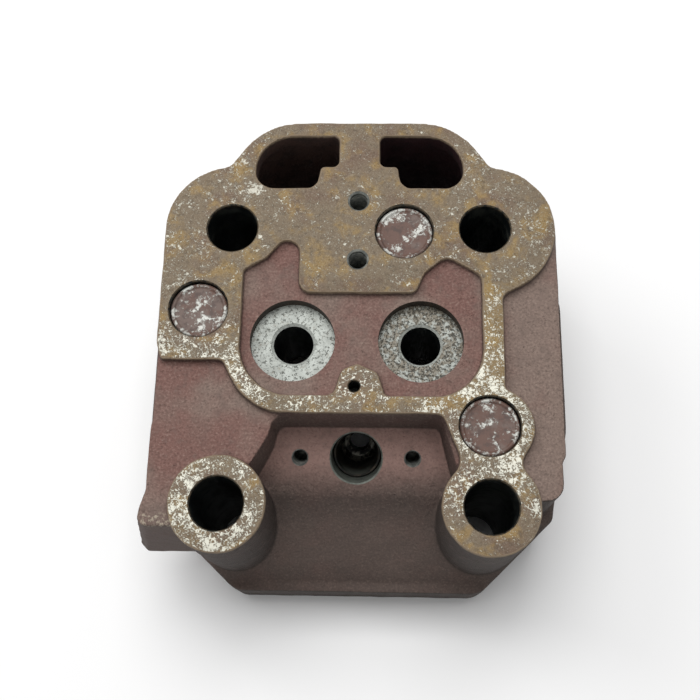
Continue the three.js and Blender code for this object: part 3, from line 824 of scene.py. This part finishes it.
@dataclass
class Casting:
    """The iron casting of the head."""

    skins: Skins
    top: float = 80.0
    shelf: float = 76.6
    well_floor: float = 77.2
    stock: float = 0.2
    stud: Pair = (45.0, 49.3)
    stud_hole: float = 9.0
    stud_boss: float = 16.3
    valve: Pair = (22.25, 8.0)
    guide_hole: float = 7.0
    guide_boss: float = 10.5
    guide_lip: float = 0.9
    spring_seat: float = 72.5
    spring_hole: float = 14.8
    rear: float = 91.9
    front: float = -72.5
    left: float = 69.1
    right: float = 70.4
    chamfer: float = 118.4
    slope: Slope = field(default_factory=Slope)
    intake: GasPath = field(default_factory=lambda: GasPath(-1, 16.0, 12.0, 27.0, 21.0, 17.2, 25.0))
    exhaust: GasPath = field(default_factory=lambda: GasPath(1, 14.5, 8.0, 26.0, 18.5, 15.0, 22.0))
    injector_y: float = -28.8
    injector_hole: float = 9.0
    injector_depth: float = 48.0
    nozzle_hole: float = 4.0
    sleeve_top: float = 12.0
    seal_groove: Triple = (10.2, 16.0, 18.4)
    clamp: Triple = (20.0, 2.6, 14.0)
    screw_hole: float = 3.3
    screw_pitch: float = 1.25
    rocker_screws: Pair = (60.0, 37.3)
    oil_hole: Pair = (5.2, 50.0)
    coolant_holes: tuple[Pair, ...] = ((57.0, -20.0), (24.0, -60.0), (24.0, 51.5))
    core_plugs: dict = field(default_factory=lambda: {
        "left": (-55.3, 18.5, 20.0), "rear": (16.4, 48.3, 20.0), "right": (45.1, -22.3, 34.0)})
    plug_hole: float = 10.3
    side_plug: Triple = (8.2, -29.0, 28.0)
    side_walls: dict = field(default_factory=lambda: {-1: 69.1, 1: 73.0})
    play: float = 0.3

    @property
    def injector(self) -> Matrix:
        """The injector's own frame, its mouth at the origin, falling along -Z."""
        height = self.slope.top - (self.slope.wall - self.injector_y) * math.tan(self.slope.tilt)
        return at(0, self.injector_y, height) @ Matrix.Rotation(self.slope.tilt, 4, "X")

    def over_valve(self, path: GasPath) -> Pair:
        """Where one valve's axis stands."""
        return path.side * self.valve[0], self.valve[1]

    def ear(self, side: int, wall: float) -> list[Corner]:
        """Corners of a rear ear and its shoulder, outside to middle."""
        return [(side * wall, 69.9, 23.7), (side * 47.2, 73.8, 4.8), (side * 35.0, self.rear, 24.9)]

    def top_outline(self) -> list[Corner]:
        """Outline of the machined top face."""
        boss = self.stud_boss - 0.1
        wall = self.slope.wall
        return [
            *self.ear(-1, self.left), *reversed(self.ear(1, 69.7)),
            (69.7, 34.6, 24.4), (50.6, 24.4, 4.0), (50.6, -9.4, 1.5), (67.3, -16.9, 14.0),
            (54.4, -34.8, 5.4), (61.3, -43.7, boss), (61.3, -65.6, boss), (28.7, -65.6, boss),
            (28.7, -43.5, boss), (35.8, -34.7, 6.0), (29.3, wall, 3.0), (-36.5, wall, 21.5),
            (-46.0, 0.0, 2.0), (-67.4, 0.0, 1.0), (-self.left, 6.5, 3.0),
        ]

    def deck_outline(self) -> list[Corner]:
        """Outline of the fire deck and the walls above it."""
        flat = self.chamfer + self.front
        return [
            *self.ear(-1, self.left), *reversed(self.ear(1, self.right)),
            (self.right, self.right - self.chamfer, 3.0), (flat, self.front, 9.0),
            (-flat, self.front, 9.0), (-self.left, self.left - self.chamfer, 3.0),
        ]

    def shelf_outline(self) -> list[Corner]:
        """Outline of the cast shelves each side of the injector bay."""
        x, y = self.stud
        return [
            *self.ear(-1, self.left), *reversed(self.ear(1, self.right)),
            (self.right, -31.4, 0.8), (69.2, -33.6, 0.8), (69.2, -46.7, 6.0), (x, -46.7, 0.0),
            (x, -y, 0.0), (34.0, -36.0, 2.0), (29.3, self.slope.wall, 3.0),
            (-27.4, self.slope.wall, 4.0), (-29.4, -26.0, 8.0), (-35.0, -35.5, 5.0), (-x, -y, 0.0),
            (-52.0, -56.5, 0.0), (-71.6, -56.5, 3.0), (-71.4, -51.0, 5.0), (-69.5, -45.0, 8.0),
            (-69.5, -24.0, 8.0), (-68.5, -13.0, 8.0), (-68.5, 2.0, 3.0),
        ]

    def well_outline(self) -> list[Corner]:
        """Outline of the valve well inside the top face."""
        return [
            (-40.2, 33.2, 1.5), (-32.0, 38.0, 6.0), (-27.3, 44.4, 4.0), (-20.6, 44.4, 4.4),
            (-20.6, 24.7, 4.5), (20.2, 24.7, 2.5), (23.5, 32.4, 4.0), (31.2, 38.7, 4.0),
            (43.4, 31.4, 3.0), (43.4, -12.3, 17.0), (10.0, -12.3, 1.5), (7.4, -4.0, 3.0),
            (0.5, -0.9, 1.5), (-4.8, -3.2, 2.5), (-7.5, -12.3, 3.5), (-40.2, -12.3, 18.0),
        ]

    def pushrod_outlines(self, side: int) -> tuple[list[Corner], list[Corner]]:
        """Outlines of one pushrod opening and of the chamber under it."""
        opening = [(7.5, 86.2, 2.0), (37.6, 86.2, 13.6), (37.6, 65.3, 6.8), (15.4, 65.3, 4.5),
                   (14.0, 74.0, 1.5), (7.5, 74.0, 2.0)]
        chamber = [(7.0, 86.5, 4.0), (41.5, 86.5, 17.0), (41.5, 61.8, 7.0), (7.0, 61.8, 4.0)]
        return tuple([(side * x, y, r) for x, y, r in shape] for shape in (opening, chamber))

    def wedge(self, bench: Bench) -> Tool:
        """Everything in front of and above the two slopes."""
        slope = self.slope
        profile = [
            (slope.wall, slope.top, 0.0), (slope.wall, self.top + 9, 0.0), (-FAR, self.top + 9, 0.0),
            (-FAR, slope.foot, 0.0), (slope.foot_y, slope.foot, 0.0), (slope.crease_y, slope.crease, 0.0),
        ]
        return bench.prism(profile, -FAR, FAR, ALONG_X)

    def lug(self, bench: Bench) -> Tool:
        """Corner lug of the intake side, whose faces draft outwards as they go down."""
        top, under = self.shelf, 34.0
        return bench.hull([
            (-71.6, -54.0, top), (-69.0, -56.5, top), (-60.0, -56.5, top), (-60.0, -44.0, top),
            (-69.6, -45.0, top), (-79.5, -57.0, under), (-76.5, -60.0, under), (-58.0, -60.0, under),
            (-58.0, -38.0, under), (-70.0, -40.0, under),
        ])

    def flange(self, bench: Bench, path: GasPath) -> Tool:
        """Pad of one port's flange."""
        half, low, high, corner = path.screws + 7.0, 4.0, 48.0, 8.0
        pad = [
            (path.port_y - half, low, corner), (path.port_y + half, low, corner),
            (path.port_y + half, high, corner), (path.port_y - half, high, corner),
        ]
        ends = sorted((path.side * (path.face - 14.0), path.side * (path.face + self.stock)))
        return bench.prism(pad, *ends, ALONG_X)

    def pour(self) -> Work:
        """The rough casting, with a little stock left where it is machined."""
        bench = Bench(self.skins[Skin.PRIMER])
        x, y = self.stud
        top, under = self.top + self.stock, -self.stock
        work = Work(bench.prism(self.deck_outline(), under, self.shelf))
        work.use(Joining.CUT, [self.wedge(bench)])
        half = self.chamfer / 2
        wall = self.side_walls[1]
        lower_wall = [(62.0, 43.0, 0.0), (wall, 40.0, 6.0), (wall, -38.0, 5.0),
                      (half + 2, 2 - half, 6.0), (50.0, -55.0, 0.0)]
        work.use(Joining.ADD, [
            bench.prism(self.shelf_outline(), 34.0, self.shelf),
            bench.prism(self.top_outline(), 30.0, top),
            bench.prism(lower_wall, under, 44.0),
            bench.bar(at(x, -y), self.stud_boss, under, top, 96),
            bench.bar(at(-x, -y), self.stud_boss, under, top, 96),
            self.lug(bench), self.flange(bench, self.intake), self.flange(bench, self.exhaust),
        ])
        work.use(Joining.CUT, [
            bench.prism(self.well_outline(), self.well_floor, top + 9),
            *(bench.prism(self.pushrod_outlines(side)[0], 70.0, top + 9) for side in (1, -1)),
            *(bench.prism(self.pushrod_outlines(side)[1], -9.0, 72.5) for side in (1, -1)),
        ])
        work.cast(grain=0.7, rounds=5, keep=0.16)
        for side in (1, -1):
            work.stain(self.skins[Skin.PIT], middle=(side * 24.0, 74.0, 40.0), reach=(18.5, 13.5, 38.6))
        return work

    def gas_tools(self, path: GasPath) -> list[Tool]:
        """Core of one port: throat, bowl and run."""
        bench = Bench(self.skins[Skin.CORE])
        x, y = self.over_valve(path)
        length = path.face - self.valve[0] + 4
        lean = math.atan2(path.port_y - y, path.face - self.valve[0])
        run = at(x, y, path.port_z) @ Matrix.Rotation(path.side * lean, 4, "Z")
        run = run @ Matrix.Rotation(path.side * math.pi / 2, 4, "Y")
        return [
            bench.bar(at(x, y), path.throat_r, -1, path.port_z, 96),
            bench.ball(at(x, y, path.port_z), path.port_r + 1),
            bench.bar(run, path.port_r, 0, length, 96),
        ]

    def face_tools(self) -> list[Tool]:
        """Cutters that plane the top, the fire deck and the two flanges."""
        face = Bench(self.skins[Skin.FACE])
        milled = Bench(self.skins[Skin.MILLED])
        flange = self.intake.face
        return [
            face.block((-FAR, -FAR, self.top), (FAR, FAR + 9, self.top + 9)),
            milled.block((-FAR, -FAR, -9), (FAR, FAR + 9, 0)),
            milled.block((-FAR, -30, 1), (-flange, 52, 51)),
            milled.block((flange, -30, 1), (FAR, 52, 51)),
        ]

    def valve_tools(self, path: GasPath) -> list[Tool]:
        """Cutters of one valve: guide bore, spring seat and seat ring's pocket."""
        x, y = self.over_valve(path)
        spot = Bench(self.skins[Skin.SPOT])
        bore = Bench(self.skins[Skin.BORE])
        # The counterbore's wall carries the painted-shade finish.
        wall = Bench(self.skins[Skin.WALL_SHADE])
        lip = self.guide_lip
        return [
            bore.bar(at(x, y), self.guide_hole, path.port_z, self.spring_seat + 1, 96),
            spot.lathe([(0, -lip), (self.guide_hole, -lip), (self.guide_hole + lip, 0),
                        (self.spring_hole, 0), (self.spring_hole, 0.2), (0, 0.2)],
                       at(x, y, self.spring_seat)),
            wall.bar(at(x, y), self.spring_hole, self.spring_seat + 0.1, self.top + 3, 128),
            bore.bar(at(x, y), path.seat_r + self.play, -1, 8 + self.play, 96),
        ]

    def hole_tools(self) -> list[Tool]:
        """Cutters of the stud, plug, screw, coolant and side holes."""
        bore = Bench(self.skins[Skin.BORE])
        thread = Bench(self.skins[Skin.THREAD])
        radius, lip, over = self.stud_hole, 0.4, 3.0
        stud = [
            (0, -over), (radius + lip, -over), (radius + lip, 0), (radius, lip),
            (radius, self.top - lip), (radius + lip, self.top), (radius + lip, self.top + over),
            (0, self.top + over),
        ]
        x, y = self.stud
        tools = [bore.lathe(stud, at(sx * x, sy * y)) for sx in (1, -1) for sy in (1, -1)]
        tools += [bore.drill(at(px, py, self.top), self.plug_hole, depth)
                  for px, py, depth in self.core_plugs.values()]
        tools += [thread.tap(at(0, py, self.top), self.screw_hole, depth=18, pitch=self.screw_pitch)
                  for py in self.rocker_screws]
        tools.append(bore.drill(at(-0.5, -9.1, self.top), radius=2.0, depth=9, lip=0.3, point=1.0))
        tools += [bore.drill(at(side * cx, cy) @ UPSIDE_DOWN, radius=4.5, depth=24, lip=0.3, point=2.0)
                  for side in (1, -1) for cx, cy in self.coolant_holes]
        for path in (self.intake, self.exhaust):
            for way in (1, -1):
                mouth = across(path.side, path.side * path.face, path.port_y + way * path.screws,
                               path.port_z)
                tools.append(thread.tap(mouth, self.screw_hole, depth=15, pitch=self.screw_pitch))
        radius, hole_y, hole_z = self.side_plug
        tools += [bore.drill(across(side, side * wall, hole_y, hole_z), radius, depth=12)
                  for side, wall in self.side_walls.items()]
        radius, hole_z = self.oil_hole
        tools.append(bore.drill(at(0, self.rear, hole_z) @ BACKWARDS, radius, depth=11, lip=0.5, point=3.0))
        tools.append(bore.drill(at(0, 74) @ UPSIDE_DOWN, radius=2.5, depth=30))
        return tools

    def injector_tools(self) -> list[Tool]:
        """Cutters of the injector's bore, its nozzle hole and its clamp's two screws."""
        bore = Bench(self.skins[Skin.BORE])
        thread = Bench(self.skins[Skin.THREAD])
        reamed = Bench(self.skins[Skin.REAMED])
        x, radius, depth = self.clamp
        hole, bottom, top = self.injector_hole, -self.injector_depth, -self.sleeve_top
        groove, high, low = self.seal_groove
        inside = hole - 1
        tools = [
            bore.bar(self.injector, hole, bottom, top, 96),
            reamed.drill(self.injector, hole, 1 - top, 0.5),
            reamed.bar(self.injector, hole + 0.5, 0, 12, 96),
            bore.bar(self.injector, self.nozzle_hole, bottom - 16, bottom + 1),
            bore.lathe([(inside, -low), (groove, -low), (groove, -high), (inside, -high)], self.injector),
        ]
        for side in (1, -1):
            mouth = self.injector @ at(side * x, 0)
            tools.append(thread.tap(mouth, radius, depth, pitch=1.0))
            tools.append(bore.bar(mouth, radius + 0.5, 0, 8))
        return tools

    def machine(self, work: Work) -> None:
        """Core the ports and take the casting through its machining."""
        for path in (self.intake, self.exhaust):
            work.use(Joining.CUT, self.gas_tools(path))
            boss = Bench(self.skins[Skin.CORE])
            x, y = self.over_valve(path)
            low = path.port_z + path.port_r - 6
            work.use(Joining.ADD, [boss.bar(at(x, y), self.guide_boss, low, 60, 72)])
        work.use(Joining.CUT, [
            *self.face_tools(), *self.valve_tools(self.intake), *self.valve_tools(self.exhaust),
            *self.hole_tools(), *self.injector_tools(),
        ])

    def make(self) -> Tool:
        """The finished casting, in place of its solid."""
        work = self.pour()
        self.machine(work)
        smooth(work.body, 34)
        work.body.name = "iron_casting"
        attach(work.body, "root")
        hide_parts("head_casting")
        return work.body


# ---------- pressed-in pieces


@dataclass
class Fittings:
    """The plugs, rings and sleeve that are pressed or screwed into the casting."""

    skins: Skins
    casting: Casting
    plug_r: float = 10.1
    plug_height: float = 6.5
    plug_sink: float = 1.6
    sheet: float = 1.5
    rim: float = 1.0
    dish: float = 0.6

    def keep(self, piece: Tool, slot: str, node: str, angle: float = 30) -> None:
        """Finish a piece and let it stand for its solid."""
        smooth(piece, angle)
        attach(piece, "root")
        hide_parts(node)
        LOG.info("%s: %d faces", piece.name, len(piece.data.polygons))

    def cup(self, name: str, radius: float, height: float, place: Matrix, node: str) -> None:
        """One cup plug, its closed face outwards and a little dished."""
        inner, crest = radius - self.sheet, radius - self.rim
        flat = crest - self.rim
        profile = [(radius, -height), (radius, -self.rim)]
        for step in range(1, 5):
            angle = math.radians(90 * step / 4)
            profile.append((crest + self.rim * math.cos(angle), -self.rim + self.rim * math.sin(angle)))
        for step in range(1, 6):
            fall = 0.5 - 0.5 * math.cos(math.pi * step / 5)
            profile.append((crest + (flat - crest) * step / 5, -self.dish * fall))
        profile += [(flat * 0.5, -self.dish - 0.05), (0, -self.dish - 0.08), (0, -self.dish - self.sheet),
                    (flat, -self.dish - self.sheet), (inner, -self.rim - self.sheet), (inner, -height)]
        piece = Bench(self.skins[Skin.PLUG]).lathe(profile, place, 96, name)
        self.keep(piece, "plug_steel", node, 50)

    def cups(self) -> None:
        """The three plugs of the top face and the two of the side walls."""
        for spot, (x, y, _) in self.casting.core_plugs.items():
            place = at(x, y, self.casting.top - self.plug_sink)
            self.cup(f"cup_plug_{spot}", self.plug_r, self.plug_height, place, f"core_plug_{spot}")
        _, y, z = self.casting.side_plug
        for spot, side in (("intake", -1), ("exhaust", 1)):
            place = across(side, side * (self.casting.side_walls[side] - 1.2), y, z)
            self.cup(f"cup_plug_{spot}_side", 8.0, 5.5, place, f"core_plug_{spot}_side")

    def seat(self, name: str, path: GasPath, node: str) -> None:
        """One valve seat ring, with its ground land."""
        low, height, land = 0.4, 8.0, 1.2
        width = path.seat_r - land - path.throat_r
        profile = [
            (path.throat_r, height), (path.throat_r, low + width + 0.6), (path.throat_r + 0.5, low + width),
            (path.seat_r - land - 0.2, low + 0.2), (path.seat_r - land, low), (path.seat_r - 0.3, low),
            (path.seat_r, low + 0.3), (path.seat_r, height),
        ]
        place = at(*self.casting.over_valve(path))
        piece = Bench(self.skins[Skin.SEAT]).lathe(profile, place, 128, name)
        self.keep(piece, "seat_steel", node)

    def sleeve(self) -> None:
        """The injector's sleeve and the ring that seals it."""
        casting = self.casting
        outer = casting.injector_hole - casting.play
        inner = outer - 1.5
        bottom = -casting.injector_depth + casting.play
        floor, top = bottom + 2.0, -casting.sleeve_top
        profile = [
            (outer, top - 0.3), (outer - 0.3, top), (inner + 0.6, top), (inner, top - 1.5),
            (inner, floor + 1.5), (inner - 1.5, floor), (casting.nozzle_hole + 1.2, floor),
            (casting.nozzle_hole, floor - 0.5), (casting.nozzle_hole, bottom), (outer, bottom),
        ]
        piece = Bench(self.skins[Skin.SLEEVE]).lathe(profile, casting.injector, 96, "copper_sleeve")
        self.keep(piece, "sleeve_copper", "injector_sleeve")
        groove, high, low = casting.seal_groove
        middle, section, level = (groove + outer) / 2, (groove - outer) / 2 - 0.03, -(high + low) / 2
        ring = [(middle + section * math.cos(turn), level + section * math.sin(turn))
                for turn in (math.tau * step / 16 for step in range(16))]
        piece = Bench(self.skins[Skin.RUBBER]).lathe(ring, casting.injector, 96, "rubber_seal_ring")
        self.keep(piece, "seal_rubber", "sleeve_seal_ring", 60)

    def oil_plug(self) -> None:
        """The taper plug that closes the oil gallery, with its hexagon socket."""
        radius, length, hexagon, depth = 5.0, 9.0, 5.0, 5.0
        sink, lip = 1.0, 0.5
        place = at(0, self.casting.rear - sink, self.casting.oil_hole[1]) @ BACKWARDS
        bench = Bench(self.skins[Skin.PLUG])
        plug = Work(bench.lathe([(0, -length), (radius - lip, -length), (radius, lip - length),
                                 (radius, -lip), (radius - lip, 0), (0, 0)], place, 64, "oil_plug"))
        plug.use(Joining.CUT, [bench.bar(place, hexagon / math.sqrt(3), -depth, 1, 6)])
        self.keep(plug.body, "plug_steel", "oil_gallery_plug")

    def make(self) -> None:
        """Every fitting."""
        self.cups()
        self.seat("intake_seat_ring", self.casting.intake, "intake_valve_seat")
        self.seat("exhaust_seat_ring", self.casting.exhaust, "exhaust_valve_seat")
        self.sleeve()
        self.oil_plug()


# ---------- the room


@dataclass
class Room:
    """The pale floor, the soft lights and the camera."""

    floor_tone: float = 0.92
    sky: float = 0.42
    overhead: float = 11.5
    key: float = 2.4
    camera_at: Triple = (9.8, -102.2, 404.8)
    camera_turn: Triple = (18.046, 2.095, 1.135)
    lens: float = 51.43

    def floor(self) -> None:
        """A wide plain floor just under the object."""
        bm = bmesh.new()
        bmesh.ops.create_grid(bm, x_segments=1, y_segments=1, size=3000.0)
        bmesh.ops.translate(bm, vec=(0, 0, -0.5), verts=bm.verts)
        tree = Tree("pale_floor")
        tone = self.floor_tone
        skin = tree.finish((tone, tone, tone, 1.0), 0.9, 0.0, None, 0.0, 0.2)
        as_object("floor", bm, skin)

    def light(self, name: str, place: tuple, size: float, power: float) -> None:
        """A soft square light aimed at the object, in metres and watts."""
        data = bpy.data.lights.new(name, "AREA")
        data.size = size
        data.energy = power
        lamp = bpy.data.objects.new(name, data)
        bpy.context.scene.collection.objects.link(lamp)
        lamp.location = place
        aim = Vector((0, 0, 0.05)) - Vector(place)
        lamp.rotation_euler = aim.to_track_quat("-Z", "Y").to_euler()

    def lights(self) -> None:
        """A low even sky, a wide overhead light and a softer key from the upper left."""
        world = bpy.data.worlds.new("sky")
        world.use_nodes = True
        shade = world.node_tree.nodes["Background"]
        shade.inputs["Color"].default_value = (1.0, 1.0, 1.0, 1.0)
        shade.inputs["Strength"].default_value = self.sky
        bpy.context.scene.world = world
        bpy.context.scene.view_settings.view_transform = "Standard"
        self.light("overhead", place=(-0.05, 0.38, 1.25), size=0.8, power=self.overhead)
        self.light("key", place=(-0.6, 0.4, 0.8), size=0.4, power=self.key)

    def camera(self) -> None:
        """The camera at its viewing angle."""
        data = bpy.data.cameras.new("camera")
        data.lens = self.lens
        data.sensor_width = 36.0
        data.clip_start = 0.01
        lean, roll, spin = (math.radians(angle) for angle in self.camera_turn)
        turn = Matrix.Rotation(roll, 4, "Y") @ Matrix.Rotation(lean, 4, "X") @ Matrix.Rotation(spin, 4, "Z")
        view = bpy.data.objects.new("camera", data)
        bpy.context.scene.collection.objects.link(view)
        view.matrix_world = Matrix.Translation(Vector(self.camera_at) * MM) @ turn
        bpy.context.scene.camera = view

    def make(self) -> None:
        """Everything round the object."""
        self.floor()
        self.lights()
        self.camera()


def main() -> None:
    """Build, dress and report every piece."""
    logging.basicConfig(level=logging.INFO)
    skins = make_skins()
    casting = Casting(skins)
    body = casting.make()
    LOG.info("%s: %d faces", body.name, len(body.data.polygons))
    Fittings(skins, casting).make()
    Room().make()


if __name__ == "__main__":
    main()
